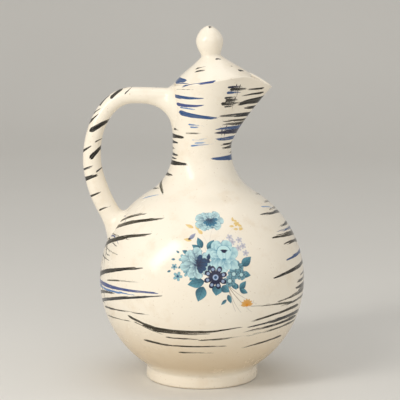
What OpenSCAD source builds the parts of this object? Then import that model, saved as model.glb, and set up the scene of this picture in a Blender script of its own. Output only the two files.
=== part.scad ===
// Ceramic pitcher with a round belly, a beak spout, a looped handle and a domed lid.
// Millimetres, +Z up. The origin is the centre of the foot's underside; the spout points along +X.

/* [Belly] */
// Outer radius of the round belly
belly_r = 86; // [83:0.5:90]
// Height of the belly's centre above the table
belly_z = 84.5; // [82:0.5:87]
// Thickness of the thrown wall
wall = 4.5; // [3.5:0.25:5]
// Height of the flat underside of the floor above the table
floor_z = 7.5; // [7:0.5:9]

/* [Foot] */
// Outer radius of the foot ring at its bulge
foot_r = 47.2; // [45:0.1:49]
// Radial thickness of the foot ring
foot_wall = 6; // [5:0.5:7]

/* [Neck] */
// Outer radius of the neck's waist
neck_r = 24.5; // [23:0.5:27]
// Radius of the concave sweep from the belly into the neck
sweep_r = 42; // [36:1:48]
// Length of straight neck above the waist
neck_straight = 4; // [2:0.5:8]

/* [Mouth and spout] */
// How far the mouth's centre stands forward of the neck's axis
mouth_x = 9.3; // [6:0.1:12]
// Height of the mouth's centre above the table
mouth_z = 252.8; // [245:0.1:262]
// Slope of the lid's seat, rising towards the spout, in degrees
mouth_tilt = 5.5; // [4:0.5:8]
// Outer radius of the mouth
mouth_r = 35; // [34:0.5:37]
// Thickness of the lip
lip = 2.7; // [2.4:0.1:3]
// How far the spout's tip reaches past the mouth's circle
spout_reach = 13; // [8:0.1:16]
// How far the spout's tip drops below the rim's line
spout_drop = 12.9; // [6:0.1:14]
// Half width of the spout where it leaves the mouth, in degrees
spout_spread = 25; // [18:1:26]
// Height of the rim's line above the seat's plane, at the mouth's centre
rim_lift = 0.8; // [0:0.1:1.5]
// Further rise of the rim towards the spout, and its fall towards the handle
rim_slope = 2.4; // [1:0.1:3]
// Swell of the rim at its two sides
rim_swell = 1.2; // [0:0.1:1.5]
// Depth of the lid's seat below the seat's plane
ledge_depth = 4.5; // [4:0.25:5.5]
// Inner radius of the lid's seat
ledge_r = 25; // [24.5:0.25:26]

/* [Handle] */
// Half thickness of the handle's grip
grip_r = 6.9; // [6:0.1:8]
// Half width of the grip across the pitcher
grip_side = 7.6; // [6.5:0.1:9]
// Extra half thickness of the lower arm
lower_arm = 1.6; // [0:0.1:2.5]

/* [Lid] */
// Room all round between the lid's edge and the lip
lid_gap = 0.5; // [0.4:0.1:1]
// Height of the knob's stem above the seat's plane
dome_h = 19.4; // [16:0.2:22]
// Radius of the knob's stem
stem_r = 7.9; // [6:0.1:9]
// Greatest radius of the knob
knob_r = 11.4; // [9.5:0.1:13]
// Height of the knob's widest ring above the seat's plane
knob_wide_h = 32; // [30:0.5:35]
// Height of the knob's top above the seat's plane
knob_top_h = 44.4; // [42:0.2:48]
// Depth of the locating flange under the lid
flange_h = 5; // [3:0.5:5.5]
// Room all round between the locating flange and the bore under the lid's seat
flange_gap = 0.8; // [0.5:0.1:2]
// Thickness of the locating flange
flange_wall = 3.2; // [2.5:0.1:4]

/* [Hidden] */

$fn = 96;
arc_steps = 28;             // pieces in each long arc of a profile
curve_steps = 10;           // pieces in each short curve
spout_edge = 50;            // angle from the spout's line at which the spout meets the mouth
spout_sink = spout_drop - 1.5;   // how far the spout's floor sinks below the lid's seat
spout_lip = 1.2;            // extra thickness of the lip at the spout's middle
spout_run = 10;             // how far the spout's floor reaches in front of the lid's seat
flank_run = 3.5;            // how far the channel's outer flank leans in at the spout's middle
flank_rise = 3;             // height of that leaning flank
throat_h = 6;               // height of the straight bore under the lid's seat
throat_run = 8;             // how far the bore widens under the spout
throat_rise = 2;            // how much shorter the bore is under the spout
wall_steps = 8;             // pieces up each side of the mouth's wall
lip_steps = 5;              // pieces over the rounded lip
glaze = "#f3e6d0";
bare_clay = "#d9c3a0";
seat_gap = 0.1;             // room under the lid where it rests on the ledge
lid_r = mouth_r - lip - lid_gap;
flange_r = ledge_r - flange_gap;
belly_in = belly_r - wall;
waist_z = belly_z + sqrt(pow(belly_r + sweep_r, 2) - pow(neck_r + sweep_r, 2));
neck_top = waist_z + neck_straight;
// Angle at the belly's centre, above the horizon, where the belly turns into the neck
shoulder = atan2(waist_z - belly_z, neck_r + sweep_r);

// ---- Curves ----

// Points on an arc of radius r about c, from angle a to angle b
function arc(c, r, a, b, n = arc_steps) =
    [for (i = [0:n]) let (t = a + (b - a) * i / n) c + r * [cos(t), sin(t)]];

// One point on a cubic curve, for points of any dimension
function cubic(p, t) =
    pow(1 - t, 3) * p[0] + 3 * t * pow(1 - t, 2) * p[1] + 3 * t * t * (1 - t) * p[2] + pow(t, 3) * p[3];

// n + 1 points on a cubic curve
function curve(p, n = curve_steps) = [for (i = [0:n]) cubic(p, i / n)];

// A copy of a list without its first point
function tail(list) = [for (i = [1:len(list) - 1]) list[i]];

// Angle below the belly's centre at which a sphere of radius r crosses the height z
function dip(r, z) = -asin((belly_z - z) / r);

// Height of the belly's underside at a radius
function belly_under(r) = max(floor_z, belly_z - sqrt(belly_r * belly_r - r * r));

// ---- Belly, foot and neck: solids of revolution ----

module belly() {
    inner_floor = floor_z + wall + 1;
    outside = arc([0, belly_z], belly_r, dip(belly_r, floor_z), shoulder, 2 * arc_steps);
    inside = arc([0, belly_z], belly_in, shoulder, dip(belly_in, inner_floor), 2 * arc_steps);
    color(glaze)
    rotate_extrude()
    polygon(concat([[0, floor_z]], outside, inside, [[0, inner_floor]]));
}

module foot_ring() {
    foot_in = foot_r - foot_wall;
    edge = 2.2;              // rounding of the outer edge that meets the table
    crease = foot_r - 0.9;   // radius of the crease under the belly
    seat = [for (i = [0:6]) let (r = foot_in + (crease - foot_in) * i / 6) [r, belly_under(r)]];
    bulge = curve([[crease, belly_under(crease)], [foot_r + 0.2, belly_under(crease) - 2],
                   [foot_r + 0.2, edge + 2.5], [foot_r - 0.1, edge]], 6);
    toe = arc([foot_r - 0.1 - edge, edge], edge, 0, -90, 6);
    heel = arc([foot_in + 1, 1], 1, 270, 180, 4);
    color(bare_clay)
    rotate_extrude()
    polygon(concat(seat, tail(bulge), tail(toe), heel));
}

module neck() {
    centre = [neck_r + sweep_r, waist_z];
    outside = arc(centre, sweep_r, 180 + shoulder, 180);
    inside = arc(centre, sweep_r + wall, 180, 180 + shoulder);
    color(glaze)
    rotate_extrude()
    polygon(concat(outside, [[neck_r, neck_top], [neck_r - wall, neck_top]], inside));
}

// ---- Mouth and spout: one sweep around the mouth, cut into two sectors ----

// Share of the spout at an angle from the spout's line: 1 at its middle and 0 away from it
function beak(a) = exp(-pow(a / spout_spread, 2));

// Height of the rim above the seat's plane, at an angle from the spout's line
function rim_line(a) = rim_lift + rim_slope * cos(a) + rim_swell * pow(sin(a), 2);

// Angle from the spout's line, from -180 to 180
function turned(a) = a > 180 ? a - 360 : a;

// A point of the mouth's tilted frame, at a radius, an angle and a height, in the pitcher's frame
function in_mouth(r, a, h) = let (u = r * cos(a))
    [mouth_x + u * cos(mouth_tilt) - h * sin(mouth_tilt), r * sin(a),
     mouth_z + u * sin(mouth_tilt) + h * cos(mouth_tilt)];

// A point on the horizontal ring where the mouth joins the neck
function on_neck(r, a) = [r * cos(a), r * sin(a), neck_top];

// The wall's curve from the neck's ring up to a point under the lip
function flare(from, to) = let (d = to - from)
    [from, from + [0.05 * d[0], 0.05 * d[1], 0.20 * d[2]],
     from + [0.57 * d[0], 0.57 * d[1], 0.68 * d[2]], to];

// The closed section of the wall at one angle: up the outside, over the lip and down the inside
function mouth_section(a) =
    let (t = turned(a), g = beak(t), r = mouth_r + spout_reach * g, lip_w = lip + spout_lip * g,
         h = rim_line(t) - spout_drop * g, ledge_h = -ledge_depth - spout_sink * g,
         under_lip = in_mouth(r, a, h - lip / 2),
         over_lip = [for (i = [1:lip_steps - 1]) let (b = 180 * i / lip_steps)
             in_mouth(r - lip_w / 2 * (1 - cos(b)), a, h - lip / 2 * (1 - sin(b)))],
         in_lip = in_mouth(r - lip_w, a, h - lip / 2),
         ledge_out = in_mouth(r - lip_w - flank_run * g, a, ledge_h + flank_rise * g),
         ledge_in = in_mouth(ledge_r + spout_run * g, a, ledge_h),
         throat = in_mouth(ledge_r + throat_run * g, a, ledge_h - throat_h + throat_rise * g))
    concat(curve(flare(on_neck(neck_r, a), under_lip), wall_steps), over_lip,
           [in_lip, ledge_out, ledge_in],
           [for (i = [wall_steps:-1:0])
               cubic(flare(on_neck(neck_r - wall, a), throat), i / wall_steps)]);

// Triangles over a section's own face: a strip up the wall, then a fan about the ledge's corner
function cap(first, m) =
    let (top = wall_steps - 1, hub = wall_steps + lip_steps + 1, turn = m - wall_steps)
    concat(
        [for (i = [0:top - 1]) let (a = first + i, c = first + m - 1 - i)
            each [[a, c, a + 1], [a + 1, c, c - 1]]],
        [for (i = [top:turn - 1]) if (i != hub && i + 1 != hub)
            [first + hub, first + i + 1, first + i]],
        [[first + hub, first + top, first + turn]]);

// A face seen from its other side
function flipped(faces) = [for (f = faces) [f[0], f[2], f[1]]];

// The wall between two angles, closed at both ends
module mouth_wall(from, to, steps) {
    sections = [for (i = [0:steps]) mouth_section(from + (to - from) * i / steps)];
    m = len(sections[0]);
    skin = [for (i = [0:steps - 1], j = [0:m - 1])
        let (a = i * m + j, b = i * m + (j + 1) % m, c = a + m, d = b + m)
        each [[a, b, c], [b, d, c]]];
    polyhedron([for (s = sections) each s], concat(cap(0, m), skin, flipped(cap(steps * m, m))));
}

module mouth() color(glaze) mouth_wall(spout_edge, 360 - spout_edge, 52);

module spout() color(glaze) mouth_wall(-spout_edge, spout_edge, 24);

// ---- Handle: an oval section swept along three curves ----

// Angle above the belly's centre at which the lower arm joins it, and how deep it sinks in there
low_join = 34;
low_sink = 2.5;
// Where the handle's ends stop inside the wall, and its highest and outermost points, as X and Z
handle_start = [mouth_x - 32.2, mouth_z - 16.3];
handle_top = [-57, mouth_z - 13.4];
handle_out = [-belly_r - 5.9, 187];
handle_end = [0, belly_z] + (belly_r - low_sink) * [-cos(low_join), sin(low_join)];
// Where the lower arm starts to thicken and how long it takes, as shares of the handle's length
arm_from = 0.5;
arm_over = 0.3;
// How far the grip swells at each join, towards the pitcher, away from it and to the sides,
// and the distance along the handle over which each swelling fades
top_swell = [17.5, 3.6, 1.4];
top_fade = [9, 12, 8];
low_swell = [3, 8, 3];
low_fade = [6, 9, 8];

function swelling(k, from_top, from_low) =
    top_swell[k] * exp(-from_top / top_fade[k]) + low_swell[k] * exp(-from_low / low_fade[k]);

function handle_path() = concat(
    curve([handle_start, handle_start + [-12, 0], handle_top + [16, 0], handle_top], 14),
    tail(curve([handle_top, handle_top + [-20, 0], handle_out + [0, 29], handle_out], 18)),
    tail(curve([handle_out, handle_out + [0, -19], handle_end + [-10.6, 8.6], handle_end], 18)));

// Distances along a path, from its start to each point
function along(path, i = 0, so_far = 0) = i == len(path) - 1 ? [so_far] :
    concat([so_far], along(path, i + 1, so_far + norm(path[i + 1] - path[i])));

module handle() {
    path = handle_path();
    at = along(path);
    last = len(path) - 1;
    sides = 24;
    points = [for (i = [0:last]) let (
            step = path[min(i + 1, last)] - path[max(i - 1, 0)], t = step / norm(step),
            from_top = at[i], from_low = at[last] - at[i],
            arm = lower_arm * min(1, max(0, (at[i] / at[last] - arm_from) / arm_over)),
            inward = grip_r + arm + swelling(0, from_top, from_low),
            outward = grip_r + arm + swelling(1, from_top, from_low),
            wide = grip_side + arm + swelling(2, from_top, from_low))
        for (k = [0:sides - 1]) let (b = 360 * k / sides, n = (cos(b) > 0 ? inward : outward) * cos(b))
            [path[i][0] - n * t[1], wide * sin(b), path[i][1] + n * t[0]]];
    skin = [for (i = [0:last - 1], k = [0:sides - 1])
        let (a = i * sides + k, b = i * sides + (k + 1) % sides, c = a + sides, d = b + sides)
        each [[a, b, c], [b, d, c]]];
    ends = [[for (k = [sides - 1:-1:0]) k], [for (k = [0:sides - 1]) last * sides + k]];
    color(glaze) polyhedron(points, concat(skin, ends));
}

// ---- Lid: turned pieces that share the mouth's tilted frame ----

module in_mouth_frame() translate([mouth_x, 0, mouth_z]) rotate([0, -mouth_tilt, 0]) children();

lid_under = -ledge_depth + seat_gap;

module lid() {
    rim = [[lid_r - 0.6, lid_under], [lid_r, lid_under + 0.6]];
    dome = curve([[lid_r, 0.5], [lid_r - 4.4, 6], [16, 12], [stem_r, dome_h]], 20);
    hollow = curve([[0, dome_h - 5.5], [11, dome_h - 7.5], [flange_r - flange_wall, 2],
                    [flange_r - flange_wall, lid_under]], 14);
    color(glaze) in_mouth_frame()
    rotate_extrude()
    polygon(concat(rim, dome, [[0, dome_h]], hollow));
}

module lid_flange() {
    inner = flange_r - flange_wall;
    color(bare_clay) in_mouth_frame()
    rotate_extrude()
    polygon([[inner, lid_under], [inner, lid_under - flange_h + 1], [inner + 1, lid_under - flange_h],
             [flange_r - 1.2, lid_under - flange_h], [flange_r, lid_under - flange_h + 1.2],
             [flange_r, lid_under]]);
}

module lid_knob() {
    stem = curve([[stem_r, dome_h], [stem_r + 0.7, dome_h + 2.2], [knob_r, knob_wide_h - 5],
                  [knob_r, knob_wide_h]], 14);
    crown = curve([[knob_r, knob_wide_h], [knob_r, knob_wide_h + 5], [5.3, knob_top_h],
                   [0, knob_top_h]], 14);
    color(glaze) in_mouth_frame()
    rotate_extrude()
    polygon(concat([[0, dome_h]], stem, tail(crown)));
}

belly();
foot_ring();
neck();
mouth();
spout();
handle();
lid();
lid_flange();
lid_knob();
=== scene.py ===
import math
import random
from collections import namedtuple

import bpy
import numpy as np
from mathutils import Matrix, Vector


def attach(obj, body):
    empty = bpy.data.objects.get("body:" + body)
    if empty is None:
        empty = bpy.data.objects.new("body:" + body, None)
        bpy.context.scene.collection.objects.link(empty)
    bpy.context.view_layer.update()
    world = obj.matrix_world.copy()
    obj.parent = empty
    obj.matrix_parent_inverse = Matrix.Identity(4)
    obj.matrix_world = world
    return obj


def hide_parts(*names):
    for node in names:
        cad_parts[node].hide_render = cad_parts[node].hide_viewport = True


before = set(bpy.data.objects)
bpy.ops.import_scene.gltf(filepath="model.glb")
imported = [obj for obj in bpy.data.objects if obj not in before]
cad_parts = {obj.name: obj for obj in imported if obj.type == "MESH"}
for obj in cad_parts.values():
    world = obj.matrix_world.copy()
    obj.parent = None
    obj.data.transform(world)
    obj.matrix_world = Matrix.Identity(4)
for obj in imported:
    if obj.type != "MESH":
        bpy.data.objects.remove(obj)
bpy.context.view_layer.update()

# ---------------------------------------------------------------------------------------------
# Sizes, in millimetres: the same driving values as the CAD model, in the same frame.
# +Z is up, the spout points along +X, and the origin is the middle of the foot's underside.
# ---------------------------------------------------------------------------------------------
MM = 0.001
BELLY_R, BELLY_Z, WALL = 86.0, 84.5, 4.5
SKIN = 0.06                      # the glaze is kept this far inside the CAD's outermost surface
FOOT_R, FOOT_WALL, FLOOR_Z = 47.2, 6.0, 7.5
NECK_R, SWEEP_R, NECK_STRAIGHT = 24.5, 42.0, 4.0
MOUTH_X, MOUTH_Z, MOUTH_TILT, MOUTH_R = 9.3, 252.8, math.radians(5.5), 35.0
LIP, SPOUT_REACH, SPOUT_DROP, SPOUT_SPREAD = 2.7, 13.0, 12.9, 25.0
RIM_LIFT, RIM_SLOPE, RIM_SWELL = 0.8, 2.4, 1.2
SEAT_DEPTH, SEAT_R, THROAT_H = 4.5, 25.0, 6.0
LID_R, DOME_H, STEM_R, KNOB_R, KNOB_WIDE_H, KNOB_TOP_H = 31.8, 19.4, 7.9, 11.4, 32.0, 44.4
FLANGE_R, FLANGE_WALL, SEAT_GAP = 24.2, 3.2, 0.1
GRIP_R, GRIP_SIDE, LOWER_ARM = 6.9, 7.6, 1.6
HANDLE_START, HANDLE_TOP = (-22.9, 238.6), (-57.0, 239.4)
HANDLE_OUT, HANDLE_END = (-91.9, 187.0), (-69.2, 131.2)
ROOT_TOP, ROOT_LOW = (-20.2, 238.6), (-68.9, 130.9)   # where its ends lie inside the wall
SINK, SINK_OVER = 1.0, 5.0       # how far the handle's ends sink, and over what length
ROOT_SHORT = 1.7                 # how far the lower end stops short of the belly's inside
UNDER_SEAT = 0.8                 # how far under the lid's seat the handle's end stays

WAIST_Z = BELLY_Z + math.sqrt((BELLY_R + SWEEP_R) ** 2 - (NECK_R + SWEEP_R) ** 2)
NECK_TOP = WAIST_Z + NECK_STRAIGHT
SHOULDER = math.atan2(WAIST_Z - BELLY_Z, NECK_R + SWEEP_R)

COLUMNS = 864                    # facets around the pitcher's body


# ---- Small tools ---------------------------------------------------------------------------

def cubic(p, t):
    """Points of the cubic curve with control points p, at the shares t."""
    t = np.asarray(t, float)[..., None]
    p = [np.asarray(q, float) for q in p]
    return ((1 - t) ** 3 * p[0] + 3 * t * (1 - t) ** 2 * p[1]
            + 3 * t * t * (1 - t) * p[2] + t ** 3 * p[3])


def arc(centre, r, a, b, n):
    """n points on an arc from angle a to angle b, in radians."""
    t = np.linspace(a, b, n)
    return np.stack([centre[0] + r * np.cos(t), centre[1] + r * np.sin(t)], 1)


def smoothstep(lo, hi, x):
    t = np.clip((np.asarray(x) - lo) / (hi - lo), 0.0, 1.0)
    return t * t * (3 - 2 * t)


def grid_mesh(name, points, close_rows=False, close_columns=False, cap_first=False,
              cap_last=False):
    """A mesh object over a grid of points (rows, columns, 3) in millimetres."""
    rows, columns = points.shape[:2]
    index = np.arange(rows * columns).reshape(rows, columns)
    if close_rows:
        index = np.vstack([index, index[:1]])
    if close_columns:
        index = np.hstack([index, index[:, :1]])
    quads = np.stack([index[:-1, :-1], index[:-1, 1:], index[1:, 1:], index[1:, :-1]], -1)
    quads = quads.reshape(-1, 4)
    ends = [index[0, :columns][::-1]] * cap_first + [index[-1, :columns]] * cap_last
    mesh = bpy.data.meshes.new(name)
    mesh.vertices.add(rows * columns)
    mesh.vertices.foreach_set("co", (points.reshape(-1, 3) * MM).ravel())
    loops = np.concatenate([quads.ravel()] + [np.asarray(e) for e in ends])
    starts = [4 * np.arange(len(quads))]
    at = 4 * len(quads)
    for e in ends:
        starts.append(np.array([at]))
        at += len(e)
    mesh.loops.add(len(loops))
    mesh.loops.foreach_set("vertex_index", loops)
    mesh.polygons.add(len(quads) + len(ends))
    mesh.polygons.foreach_set("loop_start", np.concatenate(starts))
    mesh.update(calc_edges=True)
    mesh.validate()
    mesh.shade_smooth()
    piece = bpy.data.objects.new(name, mesh)
    bpy.context.scene.collection.objects.link(piece)
    return piece


def revolve(profile, columns, frame_of=None):
    """The grid made by turning a profile of (radius, height) points about the axis."""
    a = np.linspace(0, 2 * np.pi, columns, endpoint=False)
    r, z = np.maximum(profile[:, :1], 0.05), profile[:, 1:]
    x, y, z = r * np.cos(a), r * np.sin(a), np.broadcast_to(z, (len(profile), columns))
    return frame_of(x, y, z) if frame_of else np.stack([x, y, z], -1)


def corners(piece):
    """The vertices of a piece, in millimetres, as an array."""
    mesh = piece.data
    co = np.empty(len(mesh.vertices) * 3, np.float32)
    mesh.vertices.foreach_get("co", co)
    return co.reshape(-1, 3).astype(float) / MM


# ---- The body's shape ------------------------------------------------------------------------

def in_mouth(u, v, h):
    """From the mouth's tilted frame to the pitcher's: u forward, v sideways, h up."""
    c, s = math.cos(MOUTH_TILT), math.sin(MOUTH_TILT)
    return np.stack([MOUTH_X + u * c - h * s, v + 0 * u, MOUTH_Z + u * s + h * c], -1)


def beak(a):
    """Share of the spout at an angle from its middle, in degrees."""
    return np.exp(-(a / SPOUT_SPREAD) ** 2)


def rim_line(a):
    return RIM_LIFT + RIM_SLOPE * np.cos(np.radians(a)) + RIM_SWELL * np.sin(np.radians(a)) ** 2


FLARE_SIDE = (0.0, 0.05, 0.57, 1.0)      # how the wall's sideways reach grows up the mouth
FLARE_RISE = (0.0, 0.20, 0.68, 1.0)      # and how its height does


def flare(start, end, t):
    """The wall's curve from the neck's ring to the lip: (steps, columns, 3)."""
    t = np.asarray(t)[:, None, None]
    weights = [3 * t * (1 - t) ** 2, 3 * t * t * (1 - t), t ** 3]
    side = sum(w * k for w, k in zip(weights, FLARE_SIDE[1:]))
    rise = sum(w * k for w, k in zip(weights, FLARE_RISE[1:]))
    d = end - start
    return start + d * np.concatenate([side, side, rise], -1)


def mouth_grid(columns):
    """Rows of the flared mouth: up the outside, over the lip, over the seat, down the bore."""
    a = np.linspace(0, 360, columns, endpoint=False)
    turned = np.where(a > 180, a - 360, a)
    g = beak(turned)
    cos, sin = np.cos(np.radians(a)), np.sin(np.radians(a))

    def at(r, h):
        return in_mouth(r * cos, r * sin, h)

    def ring(r):
        return np.stack([r * cos, r * sin, np.full(columns, NECK_TOP)], -1)

    r = MOUTH_R - SKIN + SPOUT_REACH * g
    lip = LIP + 1.2 * g
    h = rim_line(turned) - SPOUT_DROP * g
    seat_h = -SEAT_DEPTH - (SPOUT_DROP - 1.5) * g
    outside = flare(ring(NECK_R - SKIN), at(r, h - LIP / 2), np.linspace(0, 1, 90)[1:])
    rows = list(outside)
    for b in np.linspace(0, math.pi, 18)[1:-1]:
        rows.append(at(r - lip / 2 * (1 - math.cos(b)), h - LIP / 2 * (1 - math.sin(b))))
    inner_lip = (r - lip, h - LIP / 2)
    seat_out = (r - lip - 3.5 * g, seat_h + 3 * g)
    seat_in = (SEAT_R + 10 * g, seat_h)
    throat = (SEAT_R + 8 * g, seat_h - THROAT_H + 2 * g)
    # the glaze fills the seat's corners; here the seat runs straight between them, with rows closer
    # together near each corner
    stops = [inner_lip, seat_out, seat_in, throat]
    for k in range(3):
        p, q = stops[k], stops[k + 1]
        for t in (0.0, 0.12, 0.3, 0.5, 0.7, 0.88):
            rows.append(at(p[0] + (q[0] - p[0]) * t, p[1] + (q[1] - p[1]) * t))
    inside = flare(ring(NECK_R - WALL), at(*throat), np.linspace(1, 0, 30))
    rows += list(inside)
    return np.array(rows)


def body_grid(columns):
    """The whole thrown wall, foot to lip and back down the inside, as one closed grid."""
    r = BELLY_R - SKIN
    foot_in = FOOT_R - FOOT_WALL
    under = BELLY_Z - math.sqrt(BELLY_R ** 2 - (foot_in - 1) ** 2)
    dip = -math.asin((BELLY_Z - FLOOR_Z) / r)
    # the hollow under the foot, then the foot itself
    floor = np.array([[0.0, FLOOR_Z], [12, FLOOR_Z], [24, FLOOR_Z], [math.cos(dip) * r, FLOOR_Z]])
    hollow = arc((0, BELLY_Z), r, dip, -math.acos(foot_in / r) - 0.012, 8)[1:]
    corner = cubic([hollow[-1], (foot_in - 0.2, under + 0.7), (foot_in, under - 0.4),
                    (foot_in, under - 2)], np.linspace(0, 1, 6))[1:]
    heel = arc((foot_in + 1, 1.0), 1.0, math.pi, 1.5 * math.pi, 6)
    toe = arc((FOOT_R - 2.5, 2.4), 2.4, -math.pi / 2, 0, 12)
    # the foot swells, then runs up into the belly through a soft cove
    cove_end = -math.acos(53.5 / r)
    start = np.array([math.cos(cove_end) * r, BELLY_Z + math.sin(cove_end) * r])
    along = np.array([-math.sin(cove_end), math.cos(cove_end)])
    wall = cubic([toe[-1], (FOOT_R + 0.1, 5.2), (FOOT_R - 0.1, 7.6), (FOOT_R - 0.8, 9.4)],
                 np.linspace(0, 1, 14))[1:]
    cove = cubic([wall[-1], (FOOT_R - 1.7, 11.6), start - along * 3.6, start],
                 np.linspace(0, 1, 20))[1:]
    belly = arc((0, BELLY_Z), r, cove_end, SHOULDER, 300)[1:]
    centre = (NECK_R + SWEEP_R, WAIST_Z)
    sweep = arc(centre, SWEEP_R + SKIN, math.pi + SHOULDER, math.pi, 70)[1:]
    straight = np.array([[NECK_R - SKIN, WAIST_Z + k] for k in (1.0, 2.0, 3.0, NECK_STRAIGHT)])
    outside = np.vstack([floor, hollow, corner, heel, toe, wall, cove, belly, sweep, straight])
    floor_in = FLOOR_Z + WALL + 1
    r_in = BELLY_R - WALL
    neck_in = arc(centre, SWEEP_R + WALL, math.pi, math.pi + SHOULDER, 26)
    belly_in = arc((0, BELLY_Z), r_in, SHOULDER, -math.asin((BELLY_Z - floor_in) / r_in), 70)[1:]
    inside = np.vstack([neck_in, belly_in, [[20, floor_in], [8, floor_in], [0, floor_in]]])
    return np.concatenate([revolve(outside, columns), mouth_grid(columns),
                           revolve(inside, columns)])


# ---- The handle's shape ----------------------------------------------------------------------

def handle_path(n):
    """n points evenly along the handle's middle line, as (x, z), and their unit directions."""
    s, t, o, e = (np.array(p) for p in (HANDLE_START, HANDLE_TOP, HANDLE_OUT, HANDLE_END))
    share = np.linspace(0, 1, 400)
    line = np.vstack([[ROOT_TOP], cubic([s, s + (-12, 0), t + (16, 0), t], share),
                      cubic([t, t + (-20, 0), o + (0, 29), o], share)[1:],
                      cubic([o, o + (0, -19), e + (-10.6, 8.6), e], share)[1:], [ROOT_LOW]])
    at = np.concatenate([[0], np.cumsum(np.linalg.norm(np.diff(line, axis=0), axis=1))])
    want = np.linspace(0, at[-1], n)
    path = np.stack([np.interp(want, at, line[:, k]) for k in range(2)], 1)
    step = np.gradient(path, axis=0)
    return path, step / np.linalg.norm(step, axis=1)[:, None], want


def wall_distance(p):
    """Roughly how far points (..., 3) lie outside the pitcher's wall, in millimetres."""
    x, y, z = p[..., 0], p[..., 1], p[..., 2]
    ball = np.sqrt(x * x + y * y + (z - BELLY_Z) ** 2) - (BELLY_R - SKIN)
    t = np.linspace(0, 1, 60)
    rise = 3 * t * (1 - t) ** 2 * FLARE_RISE[1] + 3 * t * t * (1 - t) * FLARE_RISE[2] + t ** 3
    side = 3 * t * (1 - t) ** 2 * FLARE_SIDE[1] + 3 * t * t * (1 - t) * FLARE_SIDE[2] + t ** 3
    top = MOUTH_Z + (x - MOUTH_X) * math.tan(MOUTH_TILT) + rim_line(180.0)
    share = np.interp((z - NECK_TOP) / np.maximum(top - NECK_TOP, 1), rise, side)
    tube = np.hypot(x - MOUTH_X * share, y) - (NECK_R + (MOUTH_R - NECK_R) * share - SKIN)
    ring = np.hypot(np.hypot(x, y) - NECK_R - SWEEP_R, z - WAIST_Z)
    sweep = np.where(z < WAIST_Z, SWEEP_R - ring, tube)
    in_sweep = ((z > BELLY_Z + BELLY_R * math.sin(SHOULDER))
                & ((np.hypot(x, y) < NECK_R + SWEEP_R) | (z > WAIST_Z)))
    near_neck = np.where(in_sweep, sweep, ball)
    return np.minimum(ball, near_neck)


def soft_union(a, b, k):
    """The distance to two shapes joined by a fillet of about k."""
    h = np.clip((k - np.abs(a - b)) / k, 0, None)
    return np.minimum(a, b) - h * h * k / 4


def handle_grid(rows, sides):
    """The handle, swelling into the wall at both ends as luted clay does."""
    path, step, at = handle_path(rows)
    b = np.linspace(0, 2 * np.pi, sides, endpoint=False)
    arm = LOWER_ARM * np.clip((at / at[-1] - 0.5) / 0.3, 0, 1)
    thick = (GRIP_R - SKIN + arm)[:, None]
    wide = (GRIP_SIDE - SKIN + arm / 2)[:, None]
    inward, sideways = np.cos(b), np.sin(b)
    grip = 1 / np.sqrt((inward / thick) ** 2 + (sideways / wide) ** 2)
    out = np.stack([-step[:, 1][:, None] * inward, np.broadcast_to(sideways, grip.shape),
                    step[:, 0][:, None] * inward], -1)
    middle = np.stack([path[:, 0], 0 * at, path[:, 1]], -1)[:, None, :]
    upper = (at < at[-1] / 2)[:, None]
    toward, away = np.clip(inward, 0, 1), np.clip(-inward, 0, 1)
    k = np.where(upper, 10 + 16 * toward - 6 * away, 11 - 4 * toward + 6 * away)
    low, high = grip.copy(), grip + k
    for _ in range(26):
        mid = (low + high) / 2
        p = middle + out * mid[..., None]
        outside = soft_union(wall_distance(p), mid - grip, k) > 0
        high = np.where(outside, mid, high)
        low = np.where(outside, low, mid)
    p = middle + out * low[..., None]
    # the top of the join stays under the rim
    rim = MOUTH_Z + (p[..., 0] - MOUTH_X) * math.tan(MOUTH_TILT) + rim_line(180.0) - 0.7
    near = smoothstep(-44, -27, p[..., 0])
    over = np.maximum(p[..., 2] - rim, 0) * near * upper
    p[..., 2] -= over
    # both ends sink a little into the wall, so that no edge stands proud of it
    sink = SINK * smoothstep(SINK_OVER, 0, at)[:, None]
    p[..., :2] *= (1 - sink / np.hypot(p[..., 0], p[..., 1]))[..., None]
    centre = np.array([0, 0, BELLY_Z])
    sink = SINK * smoothstep(at[-1] - SINK_OVER, at[-1], at)[:, None, None]
    p -= (p - centre) * sink / BELLY_R
    depth = np.linalg.norm(p - centre, axis=-1)
    least = np.where(upper, 0, BELLY_R - WALL + ROOT_SHORT)
    p = centre + (p - centre) * (np.maximum(depth, least) / depth)[..., None]
    # the wall round the lid is thin, so inside it the handle's end stays below the lid's seat
    tilt_up = np.array([-math.sin(MOUTH_TILT), 0, math.cos(MOUTH_TILT)])
    offset = p - np.array([MOUTH_X, 0, MOUTH_Z])
    height = offset @ tilt_up
    from_axis = np.linalg.norm(offset - height[..., None] * tilt_up, axis=-1)
    over = np.maximum(height + SEAT_DEPTH + UNDER_SEAT, 0) * (from_axis < MOUTH_R - 1) * upper
    return p - over[..., None] * tilt_up


# ---- The lid's shape -------------------------------------------------------------------------

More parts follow.
